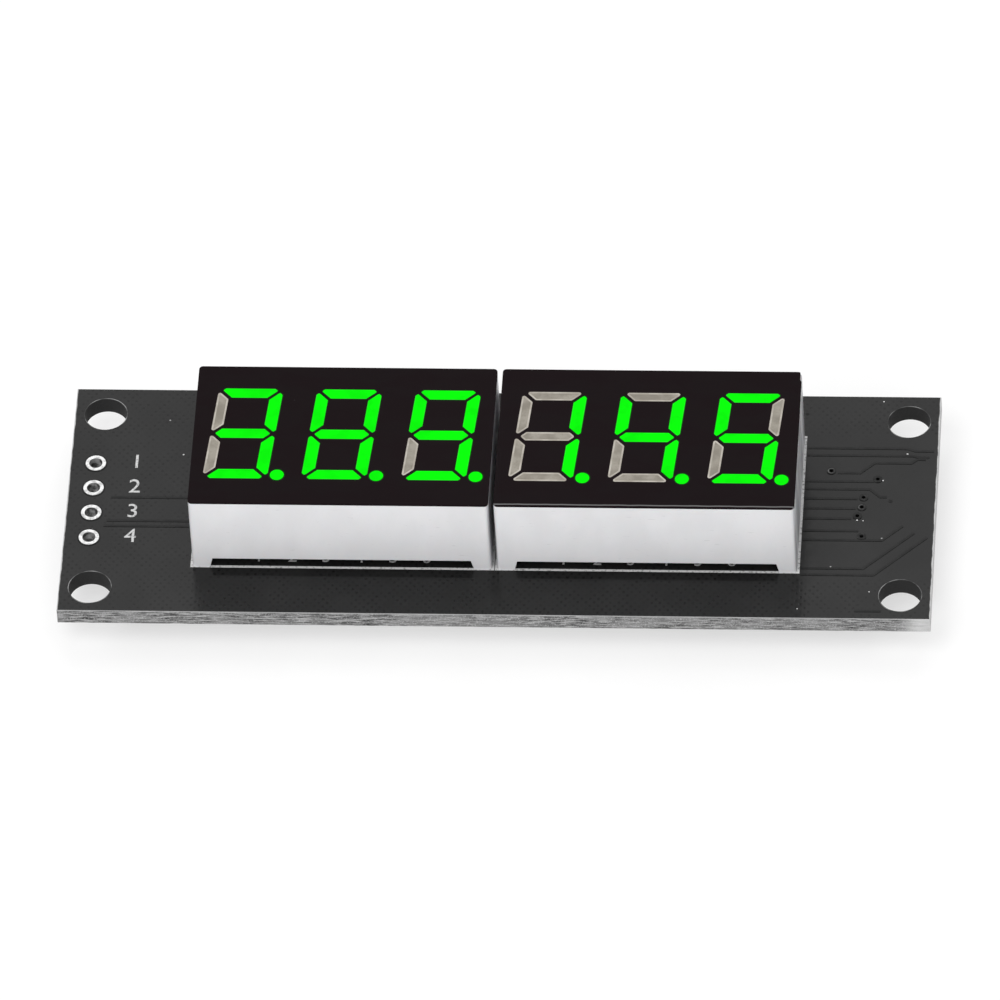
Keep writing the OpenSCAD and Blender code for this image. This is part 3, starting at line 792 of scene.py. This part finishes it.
def chip_fan(layer):
    """Tracks from the chip's inner leads to the pins of the right display, nested so that none cross."""
    chip = middle("driver_chip")
    start = chip.x - LEAD_REACH
    spots = {side: row_spots(f"right_{row}_solder") for row, side in (("front", -1), ("rear", 1))}
    for i in range(LEADS):
        off = (i - (LEADS - 1) / 2) * LEAD_PITCH
        side = 1 if off > 0 else -1
        rank = i if side < 0 else LEADS - 1 - i
        pin = spots[side][PINS - 1 - rank]
        y = chip.y + off
        bus = chip.y + side * FAN_TOP if rank == 1 else y
        bend = start - FAN_LEAD
        way = [(start, y), (bend, y), (bend - abs(y - bus), bus), (pin[0] + abs(pin[1] - bus), bus), pin]
        corners = [point for point, before in zip(way, [None] + way) if point != before]
        layer.stripe(corners, BACK_TRACK_W)


# Tracks on the back between the header, the small parts and the chip's outer leads
SUPPLY_TRACKS = [
    [(-31, 3.66), (-29.1, 5.6), (-27.6, 7.1), (-25.2, 9.5), (20.15, 9.5), (21.65, 8)],
    [(21.9, 8.2), (21.9, 8.9), (22.5, 9.5), (25.95, 9.5), (27.25, 8.2), (27.25, 7.4), (28.95, 5.7),
     (29.95, 5.7)],
    [(-31, 1.12), (-27.4, 1.12)],
    [(23.25, 8), (24.95, 8), (26.45, 6.5), (28.25, 4.44), (29.95, 4.44)],
]
SIGNAL_TRACKS = [
    [(-31, -1.42), (-27.4, -1.42)],
    [(-31, -3.96), (-27.4, -3.96)],
    [(-25.6, -1.42), (-24.4, -1.42), (-23.6, -2.22), (-23.6, -8.9), (-22.6, -9.9), (25.75, -9.9),
     (27.35, -8.3), (27.35, -7), (28.65, -5.7), (29.95, -5.7)],
    [(-25.6, -3.96), (-24.7, -3.96), (-24.3, -4.36), (-24.3, -9.4), (-23.3, -10.4), (26.35, -10.4),
     (27.95, -8.8), (27.95, -7.1), (28.35, -6.7), (30.7, -6.7), (31.2, -6.2), (31.2, -4.94), (30.7, -4.44),
     (29.95, -4.44)],
    [(-25.6, 3.66), (-24.4, 3.66), (-22.2, 1.46), (-22.2, 0.6)],
    [(-25.6, 1.12), (-22.7, 1.12), (-22.2, 0.6)],
    [(29.95, 3.18), (31.35, 3.18), (31.65, 2.88), (31.65, -1.6), (31.35, -1.9), (29.95, -1.9)],
    [(29.95, 0.64), (28.55, 0.64)],
    [(29.95, -0.64), (28.55, -0.64)],
    [(29.95, 1.9), (28.45, 2.85)],
]
# Where tracks of the back end in small filled holes, the radius of their rings and of their dark middles
BACK_VIAS = [(-22.2, 0.6), (28.55, 0.64), (28.55, -0.64)]
BACK_VIA_R = 0.3
BACK_VIA_MIDDLE_R = 0.12


def back_tracks():
    layer = Layer(BOARD_UNDER - TRACK_RISE, BOARD_UNDER)
    for track in SUPPLY_TRACKS:
        layer.stripe(read_off(track), SUPPLY_W)
    for track in SIGNAL_TRACKS:
        layer.stripe(read_off(track), BACK_TRACK_W)
    pin_loops(layer)
    chip_fan(layer)
    layer.made("back_tracks", TRACKS, "board_mask")


def back_vias():
    """Small filled holes, with rings a little over the tracks and dark middles a little over the rings."""
    for name, over, radius, finish in (("back_vias", 0.01, BACK_VIA_R, TRACKS),
                                       ("back_via_middles", 0.02, BACK_VIA_MIDDLE_R, DARK)):
        layer = Layer(BOARD_UNDER - TRACK_RISE - over, BOARD_UNDER)
        for spot in read_off(BACK_VIAS):
            layer.disc(spot, radius)
        layer.made(name, finish, "board_mask")


# Print of the back: length, width and line of the frame round a small part
SMALL_FRAME = (3.1, 1.4, 0.12)
# Line across each end of the chip: how far it is off the end, how far its hooks turn back, and its width
CHIP_LINE_OFF = 0.25
CHIP_LINE_HOOK = 0.5
CHIP_LINE_W = 0.15
# Dot by the chip's first lead, off its corner, and the radius of the dot
FIRST_LEAD_OFF = Vector((-2.2, 0.3))
FIRST_LEAD_R = 0.3
# Numbers of the header holes, off the holes, and the height of their figures
BACK_NUMBER_OFF = Vector((1.85, 0.75))
BACK_NUMBER_H = 0.95


def back_print():
    """Frames of the small parts and the chip, the mark of its first lead and plain numbers by the header."""
    layer = Layer(BOARD_UNDER - TRACK_RISE - 0.01, BOARD_UNDER)
    for name in SMALL_PARTS:
        layer.rectangle(middle(name), *SMALL_FRAME)
    low, high = node_box("driver_chip")
    for y, inward in ((low.y - CHIP_LINE_OFF, CHIP_LINE_HOOK), (high.y + CHIP_LINE_OFF, -CHIP_LINE_HOOK)):
        layer.stripe([(low.x, y + inward), (low.x, y), (high.x, y), (high.x, y + inward)], CHIP_LINE_W)
    layer.disc(Vector((low.x, high.y)) + FIRST_LEAD_OFF, FIRST_LEAD_R)
    for i, pad in enumerate(HEADER_PADS, 1):
        layer.number(str(i), middle(pad).xy + BACK_NUMBER_OFF, BACK_NUMBER_H, from_below=True)
    layer.made("back_print", INK)


# Frame printed round a display: how far the middle of its line lies past the ends and in from the long
# walls, and its width
FRAME_PAST = 0.075
FRAME_IN = 0.05
FRAME_LINE = 0.2


def display_frames():
    """Printed rectangle round the foot of each display."""
    layer = Layer(BOARD_TOP, BOARD_TOP + FILM)
    for low, high in DISPLAYS.values():
        size = high - low
        layer.rectangle((low + high) / 2, size.x + 2 * FRAME_PAST, size.y - 2 * FRAME_IN, FRAME_LINE)
    layer.made("display_frames", INK)


# Numbers beside the header holes: their place along X, how far they sit above the holes, and their height
HEADER_NUMBER_X = -27.9
HEADER_NUMBER_UP = 0.25
HEADER_NUMBER_H = 1.35


def header_numbers():
    """Plain numbers beside the header holes."""
    layer = Layer(BOARD_TOP, BOARD_TOP + FILM)
    for i, pad in enumerate(HEADER_PADS, 1):
        layer.number(str(i), (HEADER_NUMBER_X, middle(pad).y + HEADER_NUMBER_UP), HEADER_NUMBER_H)
    layer.made("header_numbers", INK)


# Numbers of the front pins: how far in from the front wall they stand, and their height
PIN_NUMBER_IN = 1.12
PIN_NUMBER_H = 1


def pin_numbers():
    """Plain numbers of the front pins, which show through the notch of each display."""
    layer = Layer(BOARD_TOP, BOARD_TOP + FILM)
    for low, high in DISPLAYS.values():
        for i in range(PINS):
            x = (low.x + high.x) / 2 + (i - (PINS - 1) / 2) * PIN_PITCH
            layer.number(str(i + 1), (x, low.y + PIN_NUMBER_IN), PIN_NUMBER_H)
    layer.made("pin_numbers", INK)


# Widths of the light that spills round a lit window, of its faint fringe and of the resin rim of an unlit one
SPILL_W = 0.045
FRINGE_W = 0.09
RESIN_RIM_W = 0.13


def window_edges(name, nodes, inner, outer, finish):
    """Films along the edges of windows, between two lines that are worked out from their outlines."""
    layer = Layer(FACE_TOP - GLOW_FILM, FACE_TOP + GLOW_FILM)
    for node in nodes:
        for outline in window_outlines(node):
            layer.band(outer(outline), inner(outline), closed=True)
    layer.made(name, finish)


# Dark gap round a ring of the header: its clearance to the ring, and its width
GAP_CLEAR = 0.01
GAP_W = 0.1


def ring_gaps():
    """Dark gap in the mask round each ring of the header holes."""
    layer = Layer(BOARD_TOP, BOARD_TOP + FILM)
    for pad in HEADER_PADS:
        low, high = node_box(pad)
        inner = (high.x - low.x) / 2 + GAP_CLEAR
        layer.ring((low + high) / 2, inner, inner + GAP_W)
    layer.made("ring_gaps", DARK, "board_mask")


# Pale rims in two of the plated holes: their places, height, and inner and outer radius
PALE_VIAS = [(24.9, 3.625), (27.35, -0.075)]
PALE_RIM_TOP = 0.06
PALE_RIM_R = (0.21, 0.26)
# Specks of dust, and dark discs painted as the shade in small dimples, on the front of the board, each with
# its radius
DUST = [(-24.4, 4.65, 0.07), (28.85, 2.7, 0.06), (27.05, -1.4, 0.07), (27.5, -1.45, 0.05),
        (28.6, 10.85, 0.06), (30.6, 5.45, 0.07), (28.25, -8.7, 0.05), (22.9, -10.5, 0.05),
        (27.3, -2.9, 0.05)]
DIMPLE_SHADES = [(32.15, 5.1, 0.13), (22.85, 9.5, 0.12), (29.5, 0.6, 0.16), (28.7, 2.95, 0.09),
           (21.6, -9.4, 0.1)]


def front_marks():
    rims = Layer(BOARD_TOP + FILM, BOARD_TOP + PALE_RIM_TOP)
    for spot in read_off(PALE_VIAS):
        rims.ring(spot, *PALE_RIM_R)
    rims.made("via_rims", RIM, "via_mask")
    # Dust specks, and dark discs that are painted shade of dimples.
    for name, spots, finish in (("dust", DUST, INK), ("dimple_shades", DIMPLE_SHADES, DARK)):
        layer = Layer(BOARD_TOP, BOARD_TOP + FILM)
        for x, y, radius in read_off(spots):
            layer.disc((x, y), radius)
        layer.made(name, finish, "board_mask")


# Rim round a mounting hole: its clearance to the hole and its outer edge, from the hole's edge
RIM_CLEAR = 0.005
RIM_OUT = 0.06


def hole_rims():
    """Thin raised rim of mask round each mounting hole, on both faces."""
    for name, low, high in (("front_hole_rims", BOARD_TOP, BOARD_TOP + FILM),
                            ("back_hole_rims", BOARD_UNDER - FILM, BOARD_UNDER)):
        layer = Layer(low, high)
        for x in (-MOUNT_X, MOUNT_X):
            for y in (-MOUNT_Y, MOUNT_Y):
                layer.ring((x, y), MOUNT_R + RIM_CLEAR, MOUNT_R + RIM_OUT, steps=64)
        layer.made(name, RIM, "board_mask")


# Studio


# From the middle of the floor to its edges, and its thickness
FLOOR_REACH = 3000
FLOOR_T = 1
WORLD_STRENGTH = 0.55
# Softboxes: name, place in metres from the module, side in metres and power in watts
SOFTBOXES = [
    ("key", (-0.35, -0.45, 0.95), 0.8, 5.5),
    ("back", (0.08, 0.82, 0.88), 1, 3.5),
    ("fill", (0.1, -1.2, 0.35), 0.8, 4),
]


def floor():
    top = CAD_BOX[0][2] / MM
    layer = Layer(top - FLOOR_T, top)
    near, far = ([(-FLOOR_REACH, y), (FLOOR_REACH, y)] for y in (-FLOOR_REACH, FLOOR_REACH))
    layer.band(near, far)
    mesh = bpy.data.meshes.new("floor")
    mesh.from_pydata([Vector(p) * MM for p in layer.points], [], layer.faces)
    mesh.materials.append(floor_paper())
    plane = bpy.data.objects.new("floor", mesh)
    bpy.context.scene.collection.objects.link(plane)


def soft_light(name, place, size, power):
    """Square softbox that faces the module."""
    data = bpy.data.lights.new(name, "AREA")
    data.size = size
    data.energy = power
    lamp = bpy.data.objects.new(name, data)
    lamp.location = Vector(place)
    lamp.rotation_euler = (-Vector(place)).to_track_quat("-Z", "Y").to_euler()
    bpy.context.scene.collection.objects.link(lamp)


def studio():
    world = bpy.data.worlds.new("studio")
    world.use_nodes = True
    background = world.node_tree.nodes["Background"]
    background.inputs["Color"].default_value = (1, 1, 1, 1)
    background.inputs["Strength"].default_value = WORLD_STRENGTH
    scene = bpy.context.scene
    scene.world = world
    scene.view_settings.view_transform = "Standard"
    for softbox in SOFTBOXES:
        soft_light(*softbox)
    floor()


# The photograph's camera: its turns about X, Y and Z in degrees, the way from it to the point on the board's
# top face that marks are read from, as it sees it, and its focal length in pixels
CAMERA_TURN = (137.4, 3.962, 0.584)
CAMERA_WAY = (0.06, 0.2297, 1342.397)
FOCAL_PIXELS = 17738.43
IMAGE_PIXELS = 1000
SENSOR = 36


def camera():
    data = bpy.data.cameras.new("camera")
    data.sensor_width = SENSOR
    data.lens = FOCAL_PIXELS / IMAGE_PIXELS * SENSOR
    data.clip_end = 10
    view = Euler([np.radians(a) for a in CAMERA_TURN], "XYZ").to_matrix()
    place = -(view.transposed() @ Vector(CAMERA_WAY)) + Vector((0, READ_FROM_Y, BOARD_TOP))
    right, down, ahead = view
    turn = Matrix((right, -down, -ahead)).transposed().to_4x4()
    eye = bpy.data.objects.new("camera", data)
    eye.matrix_world = Matrix.Translation(place * MM) @ turn
    bpy.context.scene.collection.objects.link(eye)
    bpy.context.scene.camera = eye


dress_solids()
front_tracks()
back_tracks()
back_vias()
back_print()
display_frames()
header_numbers()
pin_numbers()
window_edges("light_spill", LIT_NODES, list, lambda line: widened(line, SPILL_W),
             light_spill("light_spill", 0.9, 0.03))
window_edges("light_fringe", LIT_NODES, lambda line: widened(line, SPILL_W),
             lambda line: moved(line, FRINGE_W), light_spill("light_fringe", 0.03, 0.001))
window_edges("resin_rims", UNLIT_NODES, lambda line: moved(line, -RESIN_RIM_W), list, resin_rim())
ring_gaps()
front_marks()
hole_rims()
studio()
camera()
